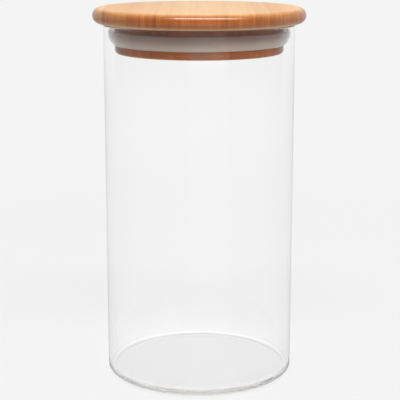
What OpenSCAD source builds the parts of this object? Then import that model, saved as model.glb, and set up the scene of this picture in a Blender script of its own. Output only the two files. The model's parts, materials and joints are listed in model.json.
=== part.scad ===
// Round glass storage canister with a push-in bamboo lid and a silicone lip seal.
//
// The jar is one piece of glass. The lid is two boards glued face to face, a cap and a plug,
// and each board is glued up from bamboo strips set on edge. The strips of the plug run across
// those of the cap. The seal sits in a groove turned into the plug, and its lip bears on the
// inside of the jar.
//
// Lengths are in millimetres. The origin is the centre of the jar's foot, and +Z is up.

/* [Glass jar] */
// Outside diameter of the wall
jar_d = 100; // [80:0.5:130]
// Height from the table to the top of the rim
jar_h = 188; // [120:1:260]
// Thickness of the wall
wall_t = 2.2; // [1.8:0.1:3.4]
// Thickness of the floor
floor_t = 2.6; // [2:0.1:5]
// Radius of the outside corner between the wall and the foot
foot_r = 3; // [2.6:0.1:7]
// Radius of the inside corner between the wall and the floor
heel_r = 1.9; // [1.5:0.1:5]
// Width of the flat ring that the jar stands on
foot_land = 4; // [2:0.5:8]
// How far the middle of the base is pushed up
push_up = 1.2; // [0.6:0.1:2.4]

/* [Lid cap] */
// How far the cap reaches past the outside of the wall
cap_overhang = 5.7; // [3:0.1:10]
// Thickness of the cap, whose edge is a full round
cap_t = 8; // [7:0.5:14]
// Gap between the rim and the cap at rest
seat_gap = 0.2; // [0.05:0.05:0.3]

/* [Lid plug] */
// How far the plug reaches below the cap
plug_h = 15.3; // [13:0.1:22]
// Gap between the plug and the inside of the wall
plug_gap = 3.6; // [2.5:0.1:5]
// Radius round the plug's lower edge
plug_edge_r = 1.8; // [1:0.1:3]

/* [Seal] */
// Height of the seal
seal_h = 7.6; // [6.6:0.1:9]
// Height of the plug's rim that is left below the seal
seal_lift = 4.3; // [3.2:0.1:5]
// Depth of the groove that holds the seal
groove_depth = 2; // [1.2:0.1:3]
// Clearance between the seal and each wall of the groove
groove_clear = 0.1; // [0.05:0.05:0.2]
// How far the seal's band stands out of the groove
band_proud = 0.2; // [0.1:0.05:0.5]
// Thickness of the lip
lip_t = 1.2; // [0.8:0.1:1.6]
// Clearance between the lip and the glass
lip_clear = 0.1; // [0.05:0.05:0.2]

/* [Bamboo strips] */
// How many strips the cap is glued up from
cap_strip_count = 16; // [8:1:20]
// How many strips the plug is glued up from
plug_strip_count = 13; // [6:1:16]

/* [Hidden] */
$fn = 144;
margin = 1; // how far a cutting shape runs past what it cuts

// Jar
jar_r = jar_d / 2;
bore_r = jar_r - wall_t;
rim_r = wall_t / 2;
rim_z = jar_h - rim_r;
push_up_reach = jar_r - foot_r - foot_land;
push_up_r = (pow(push_up_reach, 2) + pow(push_up, 2)) / (2 * push_up);

// Lid
cap_z = jar_h + seat_gap;
cap_r = jar_r + cap_overhang;
cap_round_r = cap_t / 2;
plug_z = cap_z - plug_h;
plug_r = bore_r - plug_gap;
groove_r = plug_r - groove_depth;

// Seal
seal_z = plug_z + seal_lift;
seal_top_z = seal_z + seal_h;
lip_r = bore_r - lip_clear;
lip_tip_z = seal_top_z - lip_t / 2;
// The lip's outer face is one arc, from the foot of the band up to the tip, where it is upright.
lip_reach = lip_r - plug_r - band_proud;
lip_rise = lip_tip_z - seal_z;
lip_curve_r = (pow(lip_reach, 2) + pow(lip_rise, 2)) / (2 * lip_reach);

// Strips of a round board of radius reach are all of one width. Side k is between strips k and
// k + 1, and the outer sides of the two edge strips lie just past the board.
function strip_side(k, count, reach) =
    k == 0 ? -reach - margin :
    k == count ? reach + margin :
    reach * (2 * k / count - 1);

function numbered(name, i) = str(name, "_", i < 10 ? "0" : "", i);

bamboo_tones = ["#dba468", "#c98f50", "#e0ad72", "#d1985a", "#c0854a"];
glass_tint = [0.86, 0.92, 0.91, 0.35];
silicone_tint = [0.90, 0.89, 0.87, 0.85];

// --- Glass jar ---------------------------------------------------------------------------

// The disc that bulges the base upwards, drawn at its place in the section. lift raises it.
module push_up_dome(lift) {
    translate([0, lift + push_up - push_up_r]) circle(r = push_up_r, $fn = 720);
}

// Half of a tub's section: straight side, flat bottom and a rounded corner between them.
module tub_section(r, corner_r, bottom, top) {
    translate([0, bottom]) square([r - corner_r, top - bottom]);
    translate([0, bottom + corner_r]) square([r, top - bottom - corner_r]);
    translate([r - corner_r, bottom + corner_r]) circle(r = corner_r);
}

module jar_section() {
    difference() {
        tub_section(jar_r, foot_r, 0, rim_z);
        difference() {
            tub_section(bore_r, heel_r, floor_t, rim_z + margin);
            push_up_dome(floor_t);
        }
        push_up_dome(0);
    }
    translate([jar_r - rim_r, rim_z]) circle(r = rim_r);
}

module glass_jar() {
    color(glass_tint) rotate_extrude() jar_section();
}

// --- Silicone seal -----------------------------------------------------------------------

module lip_section() {
    intersection() {
        translate([lip_r - lip_curve_r, lip_tip_z]) difference() {
            circle(r = lip_curve_r);
            circle(r = lip_curve_r - lip_t);
        }
        translate([plug_r, seal_z]) square([plug_gap, lip_rise]);
    }
    translate([lip_r - lip_t / 2, lip_tip_z]) circle(r = lip_t / 2);
}

module band_section() {
    translate([groove_r + groove_clear, seal_z])
        square([groove_depth - groove_clear + band_proud, seal_h]);
}

module seal_ring() {
    color(silicone_tint) rotate_extrude() {
        band_section();
        lip_section();
    }
}

// --- Bamboo lid --------------------------------------------------------------------------

// Cap as it leaves the lathe: a disc whose edge is a full round.
module cap_board() {
    translate([0, 0, cap_z]) rotate_extrude() {
        square([cap_r - cap_round_r, cap_t]);
        translate([cap_r - cap_round_r, cap_round_r]) circle(r = cap_round_r);
    }
}

// Plug as it leaves the lathe: a disc with a rounded lower edge and the seal's groove.
module plug_board() {
    rotate_extrude() difference() {
        tub_section(plug_r, plug_edge_r, plug_z, cap_z);
        translate([groove_r, seal_z - groove_clear])
            square([groove_depth + margin, seal_h + 2 * groove_clear]);
    }
}

// Room that strip i of a board takes up. It runs along Y.
module strip_slab(i, count, reach, bottom, top) {
    left = strip_side(i - 1, count, reach);
    right = strip_side(i, count, reach);
    translate([left, -reach - margin, bottom - margin])
        cube([right - left, 2 * (reach + margin), top - bottom + 2 * margin]);
}

module cap_strip(i) {
    color(bamboo_tones[(2 * i) % len(bamboo_tones)]) intersection() {
        cap_board();
        strip_slab(i, cap_strip_count, cap_r, cap_z, cap_z + cap_t);
    }
}

// The plug's strips run along X, across those of the cap, and strip 1 is the one in front.
module plug_strip(i) {
    color(bamboo_tones[(2 * i + 1) % len(bamboo_tones)]) intersection() {
        plug_board();
        rotate([0, 0, 90]) strip_slab(i, plug_strip_count, plug_r, plug_z, cap_z);
    }
}

glass_jar();
seal_ring();
for (i = [1 : cap_strip_count])
    cap_strip(i);
for (i = [1 : plug_strip_count])
    plug_strip(i);
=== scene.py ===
# %% [markdown]
# # A glass storage canister with a bamboo lid
#
# A clear round jar stands on a pale table. Its lid is bamboo: a cap with a full round edge that
# reaches past the glass, and under it a plug with a groove for a translucent silicone seal. The
# frame holds every piece at its real size as a plain solid, so this script never moves or resizes
# one. It draws each piece again as a smooth surface, which takes the solid's place, and gives it a
# finish. The plain solids could be dressed instead, but their flat facets would show in glass and
# in gloss.
#
# Lengths are in metres. The jar's axis is Z, and the table is at z = 0.

# %% Load the frame
import json

import bmesh
import bpy
import numpy as np
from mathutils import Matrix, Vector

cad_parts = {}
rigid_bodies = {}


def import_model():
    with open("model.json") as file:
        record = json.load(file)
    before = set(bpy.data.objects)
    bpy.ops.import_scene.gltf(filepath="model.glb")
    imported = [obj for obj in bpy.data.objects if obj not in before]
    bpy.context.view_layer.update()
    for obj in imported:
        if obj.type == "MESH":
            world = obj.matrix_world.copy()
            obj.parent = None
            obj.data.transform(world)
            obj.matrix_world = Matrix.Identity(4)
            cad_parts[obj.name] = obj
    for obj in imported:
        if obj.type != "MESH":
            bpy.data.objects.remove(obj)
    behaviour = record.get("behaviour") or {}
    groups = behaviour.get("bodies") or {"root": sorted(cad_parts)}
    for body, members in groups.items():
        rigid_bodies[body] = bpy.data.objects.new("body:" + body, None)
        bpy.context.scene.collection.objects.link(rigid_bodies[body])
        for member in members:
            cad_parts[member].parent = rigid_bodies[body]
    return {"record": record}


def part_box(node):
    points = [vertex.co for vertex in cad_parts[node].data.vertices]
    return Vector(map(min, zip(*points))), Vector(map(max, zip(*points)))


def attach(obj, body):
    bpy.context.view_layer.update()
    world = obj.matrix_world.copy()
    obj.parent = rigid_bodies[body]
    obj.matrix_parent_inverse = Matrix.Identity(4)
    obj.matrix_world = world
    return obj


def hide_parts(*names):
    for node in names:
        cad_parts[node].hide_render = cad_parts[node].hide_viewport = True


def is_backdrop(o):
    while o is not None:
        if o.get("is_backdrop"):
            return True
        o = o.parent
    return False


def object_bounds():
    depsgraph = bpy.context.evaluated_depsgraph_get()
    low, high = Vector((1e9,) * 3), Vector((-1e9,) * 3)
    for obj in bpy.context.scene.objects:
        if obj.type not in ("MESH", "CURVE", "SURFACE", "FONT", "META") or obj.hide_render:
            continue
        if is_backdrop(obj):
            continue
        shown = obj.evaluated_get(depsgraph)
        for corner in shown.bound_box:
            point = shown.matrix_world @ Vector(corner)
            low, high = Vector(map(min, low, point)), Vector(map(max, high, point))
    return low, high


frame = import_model()
cad_box = [list(corner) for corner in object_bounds()]
bodies = frame["record"]["behaviour"]["bodies"]
print("pieces on each body:", {body: len(nodes) for body, nodes in bodies.items()})

# %% [markdown]
# ## Sizes
#
# A maker would measure the jar and the lid with calipers and write every size down. Here the frame
# gives each piece's box, and most sizes follow from those boxes, so that they stay right when a
# piece changes. What no box tells, such as how thick a wall is or how round a corner, has a value
# of its own where the piece is made, the same as in the solids.

# %% Boxes of the pieces
mm = 0.001


def box_of(nodes):
    """Lowest and highest corner round several nodes, as two rows of an array."""
    corners = np.array([[list(corner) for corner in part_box(node)] for node in nodes])
    return np.array([corners[:, 0].min(axis=0), corners[:, 1].max(axis=0)])


cap_nodes = [node for node in bodies["lid"] if node.startswith("cap")]
plug_nodes = [node for node in bodies["lid"] if node.startswith("plug")]
jar_box, seal_box = box_of(["glass_jar"]), box_of(["seal_ring"])
cap_box, plug_box = box_of(cap_nodes), box_of(plug_nodes)

jar_r, jar_h = jar_box[1][0], jar_box[1][2]
cap_r, plug_r, lip_r = cap_box[1][0], plug_box[1][0], seal_box[1][0]
cap_bottom, cap_top = cap_box[0][2], cap_box[1][2]
plug_bottom, plug_top = plug_box[0][2], plug_box[1][2]
seal_bottom, seal_top = seal_box[0][2], seal_box[1][2]
print(f"jar {2 * jar_r / mm:.1f} x {jar_h / mm:.1f} mm, cap {2 * cap_r / mm:.1f} mm across")

# %% [markdown]
# ## The camera
#
# The camera stands in front with a long lens, a little above the lid, and looks slightly down, so
# that the lid shows as a thin ellipse and the base as a fuller one. A short lens from near by would
# make the base fuller still, and a longer one from afar would make the two alike. So the distance
# was chosen for the two ellipses, and then the lens for the jar to fill the frame.

# %% Camera
camera_distance, camera_height = 0.6486, 0.2395
camera_aside = 0.4 * mm
camera_pitch = np.radians(12.72)  # how far it looks down
camera_lens_mm = 110.95

camera = bpy.data.objects.new("camera", bpy.data.cameras.new("camera"))
bpy.context.scene.collection.objects.link(camera)
bpy.context.scene.camera = camera
camera.data.lens = camera_lens_mm
camera.location = (camera_aside, -camera_distance, camera_height)
camera.rotation_euler = (np.pi / 2 - camera_pitch, 0, 0)
bpy.context.scene.view_settings.view_transform = "Standard"
print(f"camera {camera_distance:.2f} m in front, {camera_height - cap_top:.3f} m above the lid")

# %% [markdown]
# ## Shader nodes
#
# Finishes and lights are built from shader nodes. They could be wired by hand in the editor, but
# code can be read, repeated and changed in one place. These helpers add a node with its settings
# and inputs in a single call, so that each finish below reads like a recipe.

# %% Node helpers


def node(tree, kind, inputs=None, **settings):
    """A new shader node. inputs maps a socket's name or number to an output or a plain value."""
    new = tree.nodes.new("ShaderNode" + kind)
    for name, value in settings.items():
        setattr(new, name, value)
    for socket, source in (inputs or {}).items():
        if isinstance(source, bpy.types.NodeSocket):
            tree.links.new(source, new.inputs[socket])
        else:
            new.inputs[socket].default_value = source
    return new


def maths(tree, operation, *values, clamp=False):
    """The output of one Math node on one to three numbers or outputs."""
    return node(tree, "Math", dict(enumerate(values)), operation=operation, use_clamp=clamp).outputs[0]


def plus(tree, first, second, clamp=False):
    """first + second, held between 0 and 1 where clamp is set."""
    return maths(tree, "ADD", first, second, clamp=clamp)


def minus(tree, first, second):
    """first - second."""
    return maths(tree, "SUBTRACT", first, second)


def times(tree, first, second):
    """first x second."""
    return maths(tree, "MULTIPLY", first, second)


# %% [markdown]
# Most of what changes over a surface or a room changes gently, from one value to another. `eased`
# makes one such step and `ramp` a row of them. A Color Ramp node could do both, but its stops are
# fixed numbers from 0 to 1, while Map Range takes lengths and angles as they are, and its two ends
# may be linked.

# %% Gentle changes


def eased(tree, source, start, end, low=0.0, high=1.0):
    """low before start and high after end, with a smooth step between them."""
    inputs = {"Value": source, "From Min": start, "From Max": end, "To Min": low, "To Max": high}
    return node(tree, "MapRange", inputs, interpolation_type="SMOOTHSTEP").outputs["Result"]


def ramp(tree, source, stops, reach=None, between="EASE"):
    """A grey that goes through the stops, (value of the source, grey), up to the value reach."""
    reach = reach or stops[-1][0]
    new = node(tree, "ValToRGB", {"Fac": maths(tree, "DIVIDE", source, reach)})
    new.color_ramp.interpolation = between
    elements = new.color_ramp.elements
    while len(elements) < len(stops):
        elements.new(0.5)
    for element, (value, grey) in zip(elements, stops):
        element.position = value / reach
        element.color = (grey, grey, grey, 1)
    return new.outputs["Color"]


# %% [markdown]
# ## Studio
#
# Clear glass has no colour of its own: all that the eye sees of it is what it bends and mirrors, so
# the studio matters as much as the glass. A real one has pale cloth behind the glass and grey cards
# round it. Cards could be modelled here too, but each would also light the lid and throw a shadow.
# Instead the room and the table answer by the kind of ray that meets them. Seen straight or through
# glass they are one even pale grey, and in a mirror image they have the light and dark that draw
# the jar's edges.

# %% Three kinds of ray


def mixed(tree, factor, first, second):
    """A shader that is first where factor is 0 and second where it is 1."""
    return node(tree, "MixShader", {"Fac": factor, 1: first, 2: second}).outputs[0]


def by_ray(tree, matt, mirrored, clear):
    """A shader for each kind of ray that may arrive.

    matt is for light that a matt surface gathers, mirrored for images in gloss and glass, and clear
    for what is seen directly or through glass.
    """
    path = node(tree, "LightPath").outputs
    straight = maths(tree, "MAXIMUM", path["Is Camera Ray"], path["Is Transmission Ray"])
    after_matt = maths(tree, "GREATER_THAN", path["Diffuse Depth"], 0.5)
    return mixed(tree, after_matt, mixed(tree, straight, mirrored, clear), matt)


# %% [markdown]
# ## The room
#
# The world stands in for walls and ceiling. The lid's lacquer mirrors a pale wall behind the jar, a
# darker one in front of it and a dim ceiling, and a soft fill comes from all round. Behind glass
# the room turns a little brighter towards the ceiling, which lights up the bends in the rim. A
# picture of a real room could wrap the scene instead, but a few greys do as well, and each of them
# can be set by itself.

# %% Room
room_grey = 0.905  # linear value of the pale backdrop
fill = 0.33  # soft light from all round
wall_height_low, wall_height_high = np.sin(np.radians((12, 32)))  # where the walls fade out
wall_behind, wall_in_front, ceiling_grey = 0.75, 0.30, 0.20
wall_blend = 0.6  # how far to either side one wall fades into the other
ceiling_low, ceiling_high = np.sin(np.radians((28, 60)))  # where it turns brighter behind glass
ceiling_glow = 1.1


def background(tree, grey):
    """One grey of the room all round."""
    return node(tree, "Background", {"Color": (1, 1, 1, 1), "Strength": grey}).outputs[0]


world = bpy.data.worlds.new("studio")
bpy.context.scene.world = world
world.use_nodes = True
world.cycles.sampling_method = "NONE"  # lamps sampled apart from rays would mix up the three kinds
room = world.node_tree
room.nodes.clear()
way = node(room, "SeparateXYZ", {0: node(room, "TexCoord").outputs["Generated"]}).outputs
wall_grey = eased(room, way["Y"], -wall_blend, wall_blend, wall_in_front, wall_behind)
above_wall = eased(room, way["Z"], wall_height_low, wall_height_high)
mirrored = node(room, "Mix", {"Factor": above_wall, "A": wall_grey, "B": ceiling_grey}).outputs["Result"]
through_glass = eased(room, way["Z"], ceiling_low, ceiling_high, room_grey, ceiling_glow)
straight = node(room, "LightPath").outputs["Is Camera Ray"]
clear = mixed(room, straight, background(room, through_glass), background(room, room_grey))
seen = by_ray(room, background(room, fill), background(room, mirrored), clear)
node(room, "OutputWorld", {"Surface": seen})
print(f"room: backdrop {room_grey}, fill {fill}")

# %% [markdown]
# ## The table
#
# The table is one flat sheet that reaches past the view. Its paint changes with the distance from
# the jar's axis and with the direction, so both are worked out first. A picture painted for it
# would do the same, but has to be kept in a file, and it blurs close up.

# %% Table
table_reach = 6.0
table_gap = 0.1 * mm  # air under the foot, so that glass and table never share a plane

table_mesh = bpy.data.meshes.new("table")
square = ((-1, -1), (1, -1), (1, 1), (-1, 1))
corners = [(x * table_reach, y * table_reach, -table_gap) for x, y in square]
table_mesh.from_pydata(corners, [], [(0, 1, 2, 3)])
table = bpy.data.objects.new("table", table_mesh)
bpy.context.scene.collection.objects.link(table)
table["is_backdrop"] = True

table_paint = bpy.data.materials.new("table")
table_paint.use_nodes = True
table_paint.cycles.emission_sampling = "NONE"
table_mesh.materials.append(table_paint)
tree = table_paint.node_tree
tree.nodes.clear()
place = node(tree, "TexCoord").outputs["Object"]
distance = node(tree, "VectorMath", {0: place}, operation="LENGTH").outputs["Value"]
turn = node(tree, "TexGradient", {0: place}, gradient_type="RADIAL").outputs["Fac"]
ahead = times(tree, minus(tree, turn, 0.25), 360)  # degrees to the right of the front
aside = maths(tree, "PINGPONG", ahead, 180)  # degrees from the front, to either side
print(f"table {2 * table_reach:.0f} m square, {table_gap / mm:.1f} mm under the jar")

# %% [markdown]
# ## What the glass mirrors of the table
#
# The jar's walls mirror mostly the table round it. A table that is bright near the jar and darker
# at the sides and far off draws the soft grey bands inside both edges of the glass. Black cards
# beside the jar would draw thin dark lines there, which suit bottles on a bright ground more than
# this soft one.

# %% Sheen of the table
sheen_grey = [(0, 0.74), (0.12, 0.80), (0.36, 0.95), (0.7, 0.86), (1.25, 0.80)]  # by distance
sheen_share = [(0, 1.0), (60, 0.86), (100, 0.64), (135, 0.68), (150, 0.67), (180, 0.66)]  # by aside
far_start, far_end = 0.9, 1.9  # the far table gains or loses light between these distances
far_front, far_back = -0.9, 0.35  # how much, in front of the jar and behind it
front_end, back_start = 105, 125  # where, by aside, the front ends and the back starts

sheen = times(tree, ramp(tree, distance, sheen_grey), ramp(tree, aside, sheen_share))
far_gain = eased(tree, aside, front_end, back_start, far_front, far_back)
far_gain = times(tree, eased(tree, distance, far_start, far_end), far_gain)
sheen = times(tree, sheen, plus(tree, 1, far_gain))
print(f"sheen of the table: {sheen_grey[0][1]} at the jar, {sheen_grey[-1][1]} far off")

# %% [markdown]
# A tall window in front of the jar would lay one more patch of light on the far table, a little to
# the right, and the glass shows it as a faint upright streak. Here the patch is painted light in the
# table's mirror image. It could be a lamp, but that would light the lid as well.

# %% Window
window_left, window_right, window_edge = -12.0, 32.0, 8.0  # degrees from straight ahead
# the painted patch's brightness, by distance
painted_window_glow = [(0, 0.25), (1.45, 0.3), (1.56, 1.2), (1.68, 1.2), (1.85, 0.75), (2.2, 0.4)]

from_left = eased(tree, ahead, window_left - window_edge, window_left + window_edge)
to_right = eased(tree, ahead, window_right - window_edge, window_right + window_edge, 1, 0)
painted_window_patch = times(tree, from_left, to_right)
sheen = plus(tree, sheen, times(tree, painted_window_patch, ramp(tree, distance, painted_window_glow)))
print(f"window {window_right - window_left:.0f} degrees wide")

# %% [markdown]
# ## Shadow and crescent
#
# Clear glass throws hardly a shadow, but the foot bends light aside: it leaves the table under the
# jar darker and gathers light into a bright crescent behind it. The path tracer would find both,
# only slowly and with specks, so both are painted: the shade under the jar as a darker grey of the
# paint there, with a larger share of it, and the crescent as a thin ring of glow. The rest of the
# table shows the room's grey, with a share of real paint in it that takes the lid's shadow.

# %% Shadow and crescent
shade_grey_under_jar, open_grey = 0.15, 0.72  # painted shade under the jar, and the paint's own grey round it
shadow_near, shadow_far = 0.22, 0.08  # the paint's share there, and so how much shadow and painted shade show
shadow_start, shadow_end = 0.92 * jar_r, 1.05 * jar_r  # where one changes to the other
fade_start, fade_end = 0.25, 0.8  # where the paint's share fades out
crescent_grey = 0.11
crescent_start, crescent_end = 110, 150  # where the crescent fades in, by aside
crescent = [
    (0, 0),
    (jar_r - 0.5 * mm, 0),
    (jar_r + 0.5 * mm, crescent_grey),
    (jar_r + 1.5 * mm, crescent_grey),
    (jar_r + 4 * mm, 0),
]

paint_and_shade_grey = eased(tree, distance, shadow_start, shadow_end, shade_grey_under_jar, open_grey)
paint_share = eased(tree, distance, shadow_start, shadow_end, shadow_near, shadow_far)
paint_share = times(tree, paint_share, eased(tree, distance, fade_start, fade_end, 1, 0))
glow = times(tree, ramp(tree, distance, crescent), eased(tree, aside, crescent_start, crescent_end))
print(f"crescent up to {(crescent[-1][0] - jar_r) / mm:.0f} mm from the jar")

# %% [markdown]
# The paint joins these parts, one for each kind of ray. A single matt paint under strong lamps
# could serve them all, but the lamps would then set the background, the mirror images and the light
# on the lid together, and none of them could be right alone.

# %% Paint of the table
table_bounce = 0.80  # light that the table throws back at matt surfaces


def emission(tree, grey):
    """A surface that shines with one grey, whatever falls on it."""
    return node(tree, "Emission", {"Color": (1, 1, 1, 1), "Strength": grey}).outputs[0]


# the paint, darker under the jar as painted shade
paint = node(tree, "BsdfDiffuse", {"Color": paint_and_shade_grey}).outputs[0]
clear = mixed(tree, paint_share, emission(tree, plus(tree, room_grey, glow)), paint)
seen = by_ray(tree, emission(tree, table_bounce), emission(tree, sheen), clear)
node(tree, "OutputMaterial", {"Surface": seen})
print(f"table's paint: {len(tree.nodes)} nodes")

# %% [markdown]
# ## The softbox
#
# A long, narrow softbox high in front of the jar lights the lid from above, and its image in the
# lacquer is the thin bright line along the cap's edge. A round lamp would leave a spot there, and
# the sun a hard shadow on the table. Its distance is kept apart from its strength: box_light says
# how bright a white face gets, and the energy follows from that.

# %% Softbox
box_elevation = np.radians(56)  # above the front of the lid
box_distance = 1.5
box_aside = 0.18  # to the right of the jar
box_width, box_depth = 1.6, 0.22
box_light = 1.36  # how bright it makes a white face that is turned to it

softbox = bpy.data.lights.new("softbox", "AREA")
softbox.shape = "RECTANGLE"
softbox.size, softbox.size_y = box_width, box_depth
softbox.energy = box_light * (np.pi * box_distance) ** 2
lamp = bpy.data.objects.new("softbox", softbox)
bpy.context.scene.collection.objects.link(lamp)
in_front, above = box_distance * np.cos(box_elevation), box_distance * np.sin(box_elevation)
lamp.location = (box_aside, -in_front, cap_top + above)
lamp.rotation_euler = (np.pi / 2 - box_elevation, 0, 0)
lamp.visible_transmission = False  # its light already passes the glass on the way to what it lights
print(f"softbox {in_front:.2f} m in front and {above:.2f} m above the lid, {softbox.energy:.1f} W")

# %% [markdown]
# ## Bounces
#
# Light that enters the edge of a glass base runs through it as in a light guide and turns back many
# times before it leaves. With the usual number of bounces it would stop on the way and leave black
# specks in the foot, so the path tracer gets more of them. Only the few rays that need them use
# them, so this costs little time.

# %% Bounces
cycles = bpy.context.scene.cycles
cycles.max_bounces = 48
cycles.glossy_bounces = 32
cycles.transmission_bounces = 32
print(f"light is followed for up to {cycles.max_bounces} bounces")

# %% [markdown]
# ## Outlines
#
# Everything here but the strips' flat sides was made by turning: the jar on a glass lathe, the two
# boards on a wood lathe, the seal in a round mould. So each shape starts as an outline, a row of
# (radius, height) points. It could be a curve with handles, but lines and arcs are what a maker's
# drawing has, and their ends meet exactly.

# %% Lines and arcs
touching = 1e-7  # points nearer to each other than this count as one


def line(start, end, hold=0.3 * mm, most=0.3):
    """A straight stretch as four points: start, hold past it, hold before end, and end.

    A shared normal leans a little where an arc begins, and glass shows that as a false bend. The
    two inner points keep the lean within hold of the ends, or within the share most of the length.
    """
    length = np.hypot(end[0] - start[0], end[1] - start[1])
    share = min(hold / length, most)
    t = np.array([0, share, 1 - share, 1])
    return np.outer(1 - t, start) + np.outer(t, end)


def arc(centre, radius, start, end, step=3.0):
    """Points on a circle, centre + radius (cos a, sin a), with a from start to end in degrees."""
    a = np.radians(np.linspace(start, end, max(2, round(abs(end - start) / step)) + 1))
    return np.array(centre) + radius * np.column_stack((np.cos(a), np.sin(a)))


def outline_of(*stretches):
    """One outline from stretches that meet end to end, without the doubled points."""
    points = np.vstack(stretches)
    apart = np.linalg.norm(np.diff(points, axis=0), axis=1) > touching
    return points[np.concatenate(([True], apart))]


print(f"a quarter circle is drawn with {len(arc((0, 0), mm, 0, 90))} points")

# %% [markdown]
# ## Meshes from arrays
#
# Every piece is a surface worked out as whole arrays of points and faces. They could be added to a
# mesh one by one, which is easier to follow, but it takes seconds for each piece. Handed over in
# one go they take next to no time. Points that meet are then welded, so that each mesh is closed.

# %% Meshes from arrays
sharp_corner = np.radians(35)  # an edge that bends more than this is a crisp one


def mesh_from(name, points, faces):
    """A closed mesh object of points (n, 3) and faces, a list of index arrays (k, 3) or (k, 4)."""
    mesh = bpy.data.meshes.new(name)
    loops = np.concatenate([f.ravel() for f in faces])
    sides = np.concatenate([np.full(len(f), f.shape[1]) for f in faces])
    starts = np.concatenate(([0], np.cumsum(sides)[:-1]))
    mesh.vertices.add(len(points))
    mesh.vertices.foreach_set("co", np.asarray(points, np.float32).ravel())
    mesh.loops.add(len(loops))
    mesh.loops.foreach_set("vertex_index", loops.astype(np.int32))
    mesh.polygons.add(len(sides))
    mesh.polygons.foreach_set("loop_start", starts.astype(np.int32))
    mesh.update(calc_edges=True)
    welded = bmesh.new()
    welded.from_mesh(mesh)
    bmesh.ops.remove_doubles(welded, verts=welded.verts, dist=touching)
    welded.to_mesh(mesh)
    welded.free()
    mesh.shade_smooth()
    mesh.set_sharp_from_angle(angle=sharp_corner)
    piece = bpy.data.objects.new(name, mesh)
    bpy.context.scene.collection.objects.link(piece)
    print(f"{name}: {len(mesh.vertices)} points, {len(mesh.polygons)} faces")
    return piece


# %% [markdown]
# ## Turning
#
# A lathe turns the work against a still tool, and `turned` does the same with an outline: it sets
# the outline round the axis at even angles and joins each copy to the next with faces. Blender's
# Spin or Screw tool would turn it too, but leaves a doubled seam and open poles on the axis.

# %% Turning


def turned(name, outline, around=640):
    """Turn an outline about Z: x = r cos a, y = r sin a, z = h.

    The outline has the solid on its left. If it starts and ends on the axis it closes there in
    two poles, and otherwise it closes on itself as a ring.
    """
    on_axis = outline[0][0] < touching
    rows = outline[1:-1] if on_axis else outline
    a = 2 * np.pi * np.arange(around) / around
    r, h = rows[:, :1], rows[:, 1:]
    grid = np.stack((r * np.cos(a), r * np.sin(a), h + 0 * a), axis=-1)
    index = np.arange(grid.shape[0] * around).reshape(-1, around)
    low = index[:-1] if on_axis else index
    high = index[1:] if on_axis else np.roll(index, -1, axis=0)
    quads = np.stack((low, np.roll(low, -1, axis=1), np.roll(high, -1, axis=1), high), axis=-1)
    points, faces = grid.reshape(-1, 3), [quads.reshape(-1, 4)]
    if on_axis:
        poles = [[0, 0, outline[0][1]], [0, 0, outline[-1][1]]]
        first, last = len(points), len(points) + 1
        points = np.vstack((points, poles))
        bottom = np.stack((np.full(around, first), np.roll(index[0], -1), index[0]), axis=-1)
        top = np.stack((index[-1], np.roll(index[-1], -1), np.full(around, last)), axis=-1)
        faces += [bottom, top]
    return mesh_from(name, points, faces)


# %% [markdown]
# ## The jar
#
# The jar is drawn glass: an even wall, a floor pushed up a little in the middle so that it stands
# on a ring, and a rim melted round by a flame. A plain cylinder with the Solidify and Bevel
# modifiers comes close, but the push-up and the two different corners at the foot need an outline,
# and they are what bends the light there.

# %% Sizes of the jar
wall = 2.2 * mm
base = 2.6 * mm  # thickness of the floor
foot_round = 3.0 * mm  # corner outside, between wall and foot
heel_round = 1.9 * mm  # corner inside, between wall and floor
foot_land = 4.0 * mm  # width of the flat ring that it stands on
push_up = 1.2 * mm  # how far the middle of the base is pushed up

bore_r = jar_r - wall
rim_round = wall / 2
dome_reach = jar_r - foot_round - foot_land
dome_r = (dome_reach**2 + push_up**2) / (2 * push_up)
print(f"inside the jar: {2 * bore_r / mm:.1f} x {(jar_h - base) / mm:.1f} mm")

# %% [markdown]
# The outline starts under the middle of the base, runs out to the foot and up the wall, over the
# rim, and back down inside to the middle of the floor. Outside and inside could be two surfaces,
# but glass has to be one closed skin, because light bends once where it enters and once where it
# leaves.

# %% Jar
dome_points = 16


def dome(lift, inwards):
    """The pushed-up base, an arc: height = lift + push_up - dome_r + sqrt(dome_r^2 - x^2)."""
    x = np.linspace(0, dome_reach, dome_points)
    if inwards:
        x = np.linspace(dome_reach, 0, dome_points)
    return np.column_stack((x, lift + push_up - dome_r + np.sqrt(dome_r**2 - x**2)))


heel_x = bore_r - heel_round
jar_outline = outline_of(
    dome(0, inwards=False),
    line((dome_reach, 0), (jar_r - foot_round, 0)),
    arc((jar_r - foot_round, foot_round), foot_round, -90, 0),
    line((jar_r, foot_round), (jar_r, jar_h - rim_round)),
    arc((jar_r - rim_round, jar_h - rim_round), rim_round, 0, 180, step=5),
    line((bore_r, jar_h - rim_round), (bore_r, base + heel_round)),
    arc((heel_x, base + heel_round), heel_round, 0, -90),
    line((heel_x, base), (dome_reach, base)),
    dome(base, inwards=True),
)
jar = turned("clear_jar", jar_outline)
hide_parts("glass_jar")
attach(jar, "jar")

# %% [markdown]
# ## The seal
#
# The seal is a band that sits in the plug's groove, with a thin lip that flares up and out to the
# glass. The lip bends inwards as the lid goes in, and springs back against the jar. It could be
# modelled flat and bent by a modifier, but one arc from the band's foot to the glass gives the
# bent shape at once, and the lip's inner side is the same arc, a wall's thickness further in.

# %% Outline of the seal
groove_depth = 2.0 * mm
groove_clear = 0.1 * mm  # between the seal and each wall of its groove
band_proud = 0.2 * mm  # how far the band stands out of the groove
lip_wall = 1.2 * mm
edge = 0.3 * mm  # softening of the moulded corners

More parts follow.
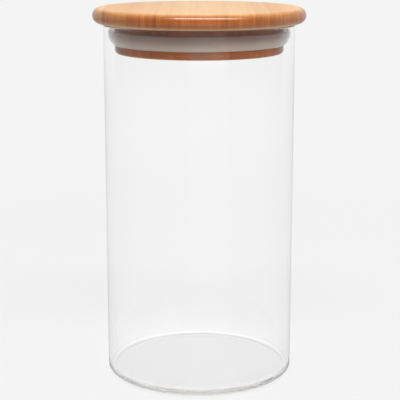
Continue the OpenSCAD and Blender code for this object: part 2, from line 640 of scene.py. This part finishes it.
band_r = plug_r + band_proud
band_back = plug_r - groove_depth + groove_clear
lip_tip_z = seal_top - lip_wall / 2
lip_reach, lip_rise = lip_r - band_r, lip_tip_z - seal_bottom
lip_round = (lip_reach**2 + lip_rise**2) / (2 * lip_reach)
inner_round = lip_round - lip_wall
lip_centre = (lip_r - lip_round, lip_tip_z)
lip_start = np.degrees(np.arccos(1 - lip_reach / lip_round))
inner_start = np.degrees(np.arccos((band_r - lip_centre[0]) / inner_round))
inner_foot_z = lip_tip_z - inner_round * np.sin(np.radians(inner_start))
print(f"lip: an arc of {lip_round / mm:.1f} mm over {lip_start:.0f} degrees")

# %% [markdown]
# The ring's outline runs once round the band and the lip: along the band's foot, up the outer side
# of the lip, over its round tip, down the inner side, and round the band. Band and lip could be two
# rings laid together, but they are moulded in one, and two surfaces inside each other would show
# through the silicone.

# %% Seal
seal_outline = outline_of(
    line((band_back, seal_bottom), (band_r, seal_bottom)),
    arc(lip_centre, lip_round, -lip_start, 0),
    arc((lip_r - lip_wall / 2, lip_tip_z), lip_wall / 2, 0, 180, step=10),
    arc(lip_centre, inner_round, 0, -inner_start),
    line((band_r, inner_foot_z), (band_r, seal_top - edge)),
    arc((band_r - edge, seal_top - edge), edge, 0, 90, step=15),
    line((band_r - edge, seal_top), (band_back, seal_top)),
    line((band_back, seal_top), (band_back, seal_bottom))[:-1],
)
seal = turned("silicone_seal", seal_outline)
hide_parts("seal_ring")
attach(seal, "seal")

# %% [markdown]
# ## The bamboo strips
#
# Bamboo is a hollow grass, so wide boards are glued up from narrow strips split out of its wall.
# The strips of the cap run from front to back and those of the plug from left to right. Each strip
# is the part of the turned board between two flat cuts. A turned board could be cut by a Boolean
# modifier, but that leaves long thin faces that shade badly. Here each strip gets its own even grid
# of points between the two cuts.

# %% One strip of a turned board
step_degrees = 0.45  # how finely the turned edge is divided


def strip(name, outline, start, end, along_x):
    """The part of a turned board between two flat cuts, at start and end across the strip.

    outline is the turned side, from the bottom edge to the top edge. At radius r the cuts are met
    at the angles asin(start / r) and asin(end / r), and the strip's points lie between those
    angles: across = r sin a, along = r cos a, and the same with along turned round.
    """
    r, h = outline[:, 0], outline[:, 1]
    first, last = (np.arcsin(np.clip(cut / r, -1, 1)) for cut in (start, end))
    widest = np.degrees(last - first).max()
    t = np.linspace(0, 1, int(np.ceil(widest / step_degrees)) + 1)[:, None]
    a = first + (last - first) * t
    across, along = r * np.sin(a), r * np.cos(a)
    loop_across = np.hstack((across, across[:, ::-1]))
    loop_along = np.hstack((along, -along[:, ::-1]))
    loop_h = np.tile(np.concatenate((h, h[::-1])), (len(t), 1))
    x, y = (-loop_along, loop_across) if along_x else (loop_across, loop_along)
    points = np.stack((x, y, loop_h), axis=-1)

    rows, count = points.shape[:2]
    index = np.arange(rows * count).reshape(rows, count)
    after = np.roll(index, -1, axis=1)
    faces = [np.stack((index[:-1], after[:-1], after[1:], index[1:]), axis=-1).reshape(-1, 4)]
    right, left = index[:, : count // 2], index[:, : count // 2 - 1 : -1]
    if start > -r.max():
        faces.append(np.stack((right[0, :-1], left[0, :-1], left[0, 1:], right[0, 1:]), axis=-1))
    if end < r.max():
        faces.append(np.stack((right[-1, :-1], right[-1, 1:], left[-1, 1:], left[-1, :-1]), axis=-1))
    return mesh_from(name, points.reshape(-1, 3), faces)


# %% [markdown]
# The lathe gives the cap a full round edge. The plug gets a rounded lower edge and a square groove,
# which cuts through every one of its strips. The Bevel modifier could round both, but it is applied
# to each strip by itself and would round the joints too, so the rounding is in the outlines.

# %% Outlines of the two boards
plug_edge_round = 1.8 * mm
flat_edge = 0.5 * mm  # a narrow ring of the flat faces that keeps their shading flat

cap_round = (cap_top - cap_bottom) / 2
cap_flat_r = cap_r - cap_round
cap_outline = outline_of(
    [(cap_flat_r - flat_edge, cap_bottom)],
    arc((cap_flat_r, cap_bottom + cap_round), cap_round, -90, 90, step=3.75),
    [(cap_flat_r - flat_edge, cap_top)],
)

groove_low, groove_high = seal_bottom - groove_clear, seal_top + groove_clear
groove_r = plug_r - groove_depth
plug_flat_r = plug_r - plug_edge_round
plug_outline = outline_of(
    [(plug_flat_r - flat_edge, plug_bottom)],
    arc((plug_flat_r, plug_bottom + plug_edge_round), plug_edge_round, -90, 0, step=7.5),
    line((plug_r, plug_bottom + plug_edge_round), (plug_r, groove_low)),
    line((plug_r, groove_low), (groove_r, groove_low)),
    line((groove_r, groove_low), (groove_r, groove_high)),
    line((groove_r, groove_high), (plug_r, groove_high)),
    line((plug_r, groove_high), (plug_r, plug_top)),
)
print(f"groove {(groove_high - groove_low) / mm:.1f} mm wide, {groove_depth / mm:.1f} mm deep")

# %% [markdown]
# One loop makes all the strips of both boards, because they differ only in their outline and in
# where the two cuts are. They could be joined into one mesh for each board, but in a real board
# each strip is a piece of its own.

# %% Strips
boards = (("cap", cap_nodes, cap_outline, cap_r), ("plug", plug_nodes, plug_outline, plug_r))
strips = {}
for board, strip_nodes, outline, board_r in boards:
    cuts = np.linspace(-board_r, board_r, len(strip_nodes) + 1)
    strips[board] = []
    for number, strip_node in enumerate(sorted(strip_nodes)):
        name = strip_node.replace("strip", "bamboo")
        piece = strip(name, outline, cuts[number], cuts[number + 1], along_x=board == "plug")
        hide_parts(strip_node)
        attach(piece, "lid")
        strips[board].append(piece)
    print(f"{board}: {len(strips[board])} strips, each {(cuts[1] - cuts[0]) / mm:.2f} mm wide")

# %% [markdown]
# ## Glass
#
# Clear drawn glass is smooth on its walls. Its underside is pressed on a cold plate, which leaves
# it slightly less clear. Glass could be two separate shaders for gloss and for refraction, but the
# Principled shader with full transmission joins them as real glass does. For shadows the jar is
# plain see-through: the tracer then needs no luck to find the lamp through the glass.

# %% Glass
glass_ior = 1.47
foot_blur, wall_blur = 0.07, 0.02


def plain_material(name, values):
    """A new material with one Principled shader of these values: material, node tree and shader."""
    material = bpy.data.materials.new(name)
    material.use_nodes = True
    tree = material.node_tree
    shader = tree.nodes["Principled BSDF"]
    for socket, value in values.items():
        shader.inputs[socket].default_value = value
    return material, tree, shader


def height_in(tree):
    """The height over the table of a point on the surface."""
    return node(tree, "SeparateXYZ", {0: node(tree, "TexCoord").outputs["Object"]}).outputs["Z"]


clear_values = {"Base Color": (1, 1, 1, 1), "Transmission Weight": 1, "IOR": glass_ior}
glass, tree, shader = plain_material("clear_glass", clear_values)
blur = eased(tree, height_in(tree), push_up, 2 * push_up, foot_blur, wall_blur)
tree.links.new(blur, shader.inputs["Roughness"])
in_shadow = node(tree, "LightPath").outputs["Is Shadow Ray"]
see_through = node(tree, "BsdfTransparent").outputs[0]
surface = mixed(tree, in_shadow, shader.outputs[0], see_through)
tree.links.new(surface, tree.nodes["Material Output"].inputs["Surface"])
jar.data.materials.append(glass)
print(f"glass: IOR {glass_ior}, blur {wall_blur} on the walls and {foot_blur} underneath")

# %% [markdown]
# ## Silicone
#
# Silicone rubber is milky: light enters it, scatters and comes out near by. The thick band hides
# the wood behind it, and the thin lip lets it show. Fog in a clear solid would be nearest to the
# real thing, but is slow and grainy, so the surface scatters under its skin and lets more light
# straight through towards the lip.

# %% Silicone
band_clearness, lip_clearness = 0.18, 0.76
silicone_values = {
    # pinkish: the milky silicone, with painted warm light from the bamboo round it
    "Base Color": (1.0, 0.70, 0.59, 1),
    "Roughness": 0.25,
    "IOR": 1.41,
    "Specular IOR Level": 0.5,
    "Subsurface Weight": 1.0,
    "Subsurface Radius": (1, 0.9, 0.8),
    "Subsurface Scale": 3 * mm,
}

silicone, tree, shader = plain_material("silicone", silicone_values)
clearness = eased(tree, height_in(tree), seal_bottom, seal_top, band_clearness, lip_clearness)
tree.links.new(clearness, shader.inputs["Transmission Weight"])
seal.data.materials.append(silicone)
print(f"silicone: {band_clearness:.0%} clear at the band and {lip_clearness:.0%} at the lip")

# %% [markdown]
# ## Tones of the bamboo
#
# No two strips of bamboo have quite the same colour, and a joiner lays them out by eye. One tone
# for the board, with noise on it, would miss that and the sharp steps at the joints. So each strip
# has a depth of its own between a light and a deep tone. The turned edge gets a deeper tint on top:
# it cuts through the fibres and drinks more lacquer than the flat faces, and the tint also holds
# painted shade, because the edge turns away from the light that falls on the top.

# %% Tones of the bamboo
cap_tones = (0.91, 0.58, 0.285, 1), (0.79, 0.40, 0.155, 1)  # lightest and deepest strip
# the plug's tones are redder than the cap's: partly its own tone, partly painted warm shade under the cap
plug_tones = (0.93, 0.455, 0.12, 1), (0.76, 0.315, 0.065, 1)
# what the turned edge keeps of each colour on the lightest and deepest strip: lacquer and painted shade
edge_tints_and_shade = (0.485, 0.222, 0.084, 1), (0.30, 0.13, 0.04, 1)
# how deep each strip's tone is, in tenths: left to right, and front to back
cap_layout = (0, 8, 9, 8, 6, 4, 3, 2, 1, 3, 2, 3, 6, 9, 4, 1)
plug_layout = (5, 7, 3, 6, 4, 8, 5, 3, 6, 4, 7, 5, 6)
print(f"tones for {len(cap_layout)} strips of the cap and {len(plug_layout)} of the plug")

# %% [markdown]
# Grain, glue and lacquer each change the colour that is under them: they mix it with another, or
# darken it. Each change could be a group of nodes of its own, but one node is enough for it.

# %% Changes of colour


def colour_mix(tree, factor, first, second):
    """A colour that is first where factor is 0 and second where it is 1."""
    return node(tree, "Mix", {"Factor": factor, 6: first, 7: second}, data_type="RGBA").outputs[2]


def darkened(tree, colour, factor):
    """The colour times a grey factor."""
    return node(tree, "VectorMath", {0: colour, "Scale": factor}, operation="SCALE").outputs[0]


# %% [markdown]
# ## The turned edge
#
# The lathe leaves end grain where it cuts across the strips and long grain where it cuts along
# them. The edge could be told from the flat faces by its distance from the axis, but the way that a
# face looks does it better: it also finds the floor of the groove, and it tells end grain from long
# grain.

# %% Turned edge
flat_lean, edge_lean = 0.05, 0.95  # how far sideways a face looks where the edge starts and is full
long_grain_share = 0.95  # how far long grain counts as edge, beside end grain


def turned_edge(tree, facing):
    """1 where the board's turned edge shows end grain, long_grain_share on long grain, 0 on flats."""
    way = node(tree, "SeparateXYZ", {0: facing}).outputs
    along, across = maths(tree, "ABSOLUTE", way["Y"]), maths(tree, "ABSOLUTE", way["X"])
    end_grain = eased(tree, along, flat_lean, edge_lean)
    long_grain = eased(tree, across, flat_lean, edge_lean, 0, long_grain_share)
    return maths(tree, "MAXIMUM", end_grain, long_grain)


print(f"long grain takes {long_grain_share:.0%} of the edge's tint")

# %% [markdown]
# ## Grain of the bamboo
#
# Bundles of fibre run the whole length of a strip, with softer tissue between them. They show as
# fine dark lines on its long sides and as dots on its ends. Painted lines would fit one side only.
# A pattern in space, stretched along the strip, gives the lines and the dots at once, wherever the
# lathe has cut.

# %% Grain of the bamboo
# sizes across, along and up the strip, in mm
bundle_size = (0.75, 70, 0.75)  # one bundle of fibre
fibre_size = (0.5, 45, 0.5)  # fibres within and between the bundles
band_size = (1.0, 160, 25)  # where the bundles crowd or thin out
cloud_size = (5.0, 60, 5.0)  # paler and deeper places in a strip
bundle_core, tissue_start = 0.10, 0.34  # share of its size where its core ends and tissue starts
noise_detail = 2.0  # how many finer waves are laid over the first


def grain(tree, place, kind, size, **inputs):
    """A noise or cell pattern with features of this size across, along and up the strip."""
    scale = tuple(1 / (length * mm) for length in size)
    stretched = node(tree, "VectorMath", {0: place, 1: scale}, operation="MULTIPLY").outputs[0]
    return node(tree, kind, {"Vector": stretched, "Scale": 1.0, **inputs}).outputs[0]


def soft_grain(tree, place, size):
    """Noise with soft features of this size, from 0 to 1."""
    return grain(tree, place, "TexNoise", size, Detail=noise_detail)


def tissue_between(tree, place):
    """0 in the core of a bundle of fibre and 1 in the softer tissue round it."""
    return eased(tree, grain(tree, place, "TexVoronoi", bundle_size), bundle_core, tissue_start)


print(f"bundles {bundle_size[0]} mm across and {bundle_size[1]} mm long, fibres {fibre_size[0]} mm across")

# %% [markdown]
# ## Depth of tone
#
# How deep a point's tone is follows first from its strip. One side of a strip was nearer to the
# stem's skin, where the fibres crowd and the bamboo is darker. Soft clouds and bands of crowded
# bundles come on top, and lacquer brings the bands out more on the turned edge. A picture of real
# wood could give all this at once, but it would repeat, and stretch round the edge.

# %% Depth of tone
strip_depth, skin_depth, cloud_depth = 0.75, 0.25, 0.4  # how much each of them decides
band_depths = 0.4, 1.5  # the same for the bands, on a flat face and on the turned edge


def tone_depth(tree, steps, layout, own, moved, on_edge):
    """How deep the tone is, from 0 to 1: strip + skin side + clouds + bands, each times its depth."""
    stops = [(number, tenths / 10) for number, tenths in enumerate(layout)]
    tone = ramp(tree, steps, stops, reach=len(layout), between="CONSTANT")
    skin_side = minus(tree, maths(tree, "FRACT", steps), maths(tree, "ROUND", own["Y"]))
    skin_side = maths(tree, "ABSOLUTE", skin_side)
    clouds = minus(tree, soft_grain(tree, moved, cloud_size), 0.5)
    bands = minus(tree, soft_grain(tree, moved, band_size), 0.5)
    band_depth = eased(tree, on_edge, 0, 1, *band_depths)
    depth = plus(tree, times(tree, tone, strip_depth), times(tree, skin_side, skin_depth))
    depth = plus(tree, depth, times(tree, clouds, cloud_depth))
    return plus(tree, depth, times(tree, bands, band_depth), clamp=True)


# %% [markdown]
# ## Glue lines and knuckles
#
# Where two strips meet, a thin dark line of glue shows, at some joints more than at others. Some
# strips also have a knuckle, the ring where the bamboo's stem had a joint, as a short dark bar
# across the strip. Both could be cut into the mesh, but on a sanded board they are only colour.

# %% Glue lines and knuckles
glue_start, glue_end = 0.08, 0.22  # mm from the joint
glue_dark = 0.38  # what the darkest glue line takes from the colour
knuckle_spread = 0.26  # the stretch in which a strip's knuckle may lie, so some strips show none
knuckle_start, knuckle_end = 0.3 * mm, 1.6 * mm  # from the knuckle's middle
knuckle_shade = 0.84


def joint_shade(tree, steps, width, own):
    """1 inside a strip and darker on a glue line, where steps is a whole number.

    The strip's own number is squared, so that most glue lines are faint and a few are dark.
    """
    from_joint = times(tree, maths(tree, "PINGPONG", steps, 0.5), width / mm)
    glue = eased(tree, from_joint, glue_start, glue_end, 1, 0)
    glue = times(tree, glue, maths(tree, "POWER", own["Z"], 2))
    return minus(tree, 1, times(tree, glue, glue_dark))


def knuckle_bar(tree, along, own):
    """1 along the strip, and knuckle_shade on its knuckle."""
    knuckle = times(tree, minus(tree, own["X"], 0.5), knuckle_spread)
    from_knuckle = maths(tree, "ABSOLUTE", minus(tree, along, knuckle))
    return eased(tree, from_knuckle, knuckle_start, knuckle_end, knuckle_shade, 1)


print(f"glue lines up to {2 * glue_end:.2f} mm wide, knuckles up to {2 * knuckle_end / mm:.1f} mm")

# %% [markdown]
# ## Marks of the grain
#
# Bundles darken the colour under them, most of all on the turned edge, where the lathe has opened
# them and lacquer soaks in. Single fibres make it a little paler or darker. The marks could have a
# colour of their own, but a mark that takes a share of what is under it suits every tone.

# %% Marks of the grain
bundle_darks = 0.03, 0.28  # what a bundle takes from the colour, on a flat face and on the edge
fibre_low, fibre_high = 0.3, 0.7  # the part of the noise that shows as fibres
fibre_shades = 0.95, 1.04


def grained(tree, colour, tissue, fibres, on_edge):
    """The colour times 1 less a bundle's dark, and then times the shade of the fibres."""
    marks = times(tree, minus(tree, 1, tissue), eased(tree, on_edge, 0, 1, *bundle_darks))
    colour = darkened(tree, colour, minus(tree, 1, marks))
    return darkened(tree, colour, eased(tree, fibres, fibre_low, fibre_high, *fibre_shades))


flat_dark, edge_dark = bundle_darks
print(f"bundles take {flat_dark:.0%} from the colour on a flat face and {edge_dark:.0%} on the edge")

# %% [markdown]
# ## Polish and relief
#
# The edge is polished on the lathe and the flat faces are only sanded, so the edge mirrors the
# softbox as a line and the faces spread it. The grain also stands in a fine relief, hundredths of a
# millimetre high. In the mesh it would need millions of faces, so a Bump node shades the surface as
# if the relief were there.

# %% Polish and relief
flat_blur, edge_blur = 0.34, 0.22
polish_end = 0.8  # how much of an edge a face is where its polish is full
fibre_dullness = 0.2  # how much polish the fibres take away
relief, relief_strength = 0.02 * mm, 0.5
fibre_relief = 0.5  # how high the fibres stand, beside the tissue between bundles


def finish_surface(tree, shader, tissue, fibres, on_edge):
    """Set the shader's blur, flat_blur to edge_blur by polish, and its relief, tissue + fibres."""
    polish = minus(tree, on_edge, times(tree, fibres, fibre_dullness))
    tree.links.new(eased(tree, polish, 0, polish_end, flat_blur, edge_blur), shader.inputs["Roughness"])
    height = plus(tree, tissue, times(tree, fibres, fibre_relief))
    bump_values = {"Strength": relief_strength, "Distance": relief, "Height": height}
    tree.links.new(node(tree, "Bump", bump_values).outputs[0], shader.inputs["Normal"])


print(f"blur {edge_blur} on the edge and {flat_blur} on the flat faces, relief {relief / mm:.2f} mm")

# %% [markdown]
# ## The bamboo finish
#
# One function makes the finish for both boards. They differ in their tones, in the way their strips
# run and in their gloss: the cap is lacquered, and the plug, which touches the food, is only oiled.
# Each strip draws three numbers of its own, which move its grain and place its skin side, its glue
# and its knuckle. A material for each strip would look the same, but there would be 29 of them.

# %% Bamboo


def bamboo_finish(name, tones, layout, board_r, turn, seed, gloss):
    """Laminated bamboo whose strips lie side by side along X and run along Y, before turn.

    layout gives each strip's depth of tone in tenths, seed picks the strips' own numbers, turn is
    in degrees, and gloss is the level of the shine.
    """
    material, tree, shader = plain_material(name, {"Specular IOR Level": gloss})
    coords = node(tree, "TexCoord").outputs
    turning = {"Rotation": (0, 0, np.radians(turn))}
    place = node(tree, "Mapping", {"Vector": coords["Object"], **turning}).outputs[0]
    facing = node(tree, "Mapping", {"Vector": coords["Normal"], **turning}, vector_type="NORMAL").outputs[0]
    xyz = node(tree, "SeparateXYZ", {0: place}).outputs
    on_edge = turned_edge(tree, facing)

    width = 2 * board_r / len(layout)
    steps = maths(tree, "DIVIDE", plus(tree, xyz["X"], board_r), width)
    number = plus(tree, maths(tree, "FLOOR", steps), seed)
    dice = node(tree, "TexWhiteNoise", {"W": number}, noise_dimensions="1D").outputs["Color"]
    own = node(tree, "SeparateXYZ", {0: dice}).outputs
    moved = node(tree, "VectorMath", {0: place, 1: dice}, operation="ADD").outputs[0]

    tissue, fibres = tissue_between(tree, moved), soft_grain(tree, moved, fibre_size)
    depth = tone_depth(tree, steps, layout, own, moved, on_edge)
    colour = grained(tree, colour_mix(tree, depth, *tones), tissue, fibres, on_edge)
    colour = darkened(tree, colour, joint_shade(tree, steps, width, own))
    colour = darkened(tree, colour, knuckle_bar(tree, xyz["Y"], own))
    # deeper on the turned edge: partly lacquer, partly painted shade
    tint = colour_mix(tree, on_edge, (1, 1, 1, 1), colour_mix(tree, depth, *edge_tints_and_shade))
    colour = node(tree, "VectorMath", {0: colour, 1: tint}, operation="MULTIPLY").outputs[0]
    tree.links.new(colour, shader.inputs["Base Color"])
    finish_surface(tree, shader, tissue, fibres, on_edge)
    print(f"{name}: {len(tree.nodes)} nodes")
    return material


finishes = {
    "cap": bamboo_finish("cap_bamboo", cap_tones, cap_layout, cap_r, turn=0, seed=3.0, gloss=0.50),
    "plug": bamboo_finish("plug_bamboo", plug_tones, plug_layout, plug_r, turn=-90, seed=40.0, gloss=0.05),
}
for board, pieces in strips.items():
    for piece in pieces:
        piece.data.materials.append(finishes[board])

# %% [markdown]
# ## Check the size
#
# A new surface may be smoother than its solid but not larger. The two boxes round everything, of
# the solids and of the new pieces, are taken one from the other and the difference is printed,
# because a difference that the eye misses shows in numbers.

# %% Finish
box_change = np.array([list(corner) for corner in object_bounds()]) - np.array(cad_box)
print("new box less the solids' box, in mm:", (box_change / mm).round(2).tolist())
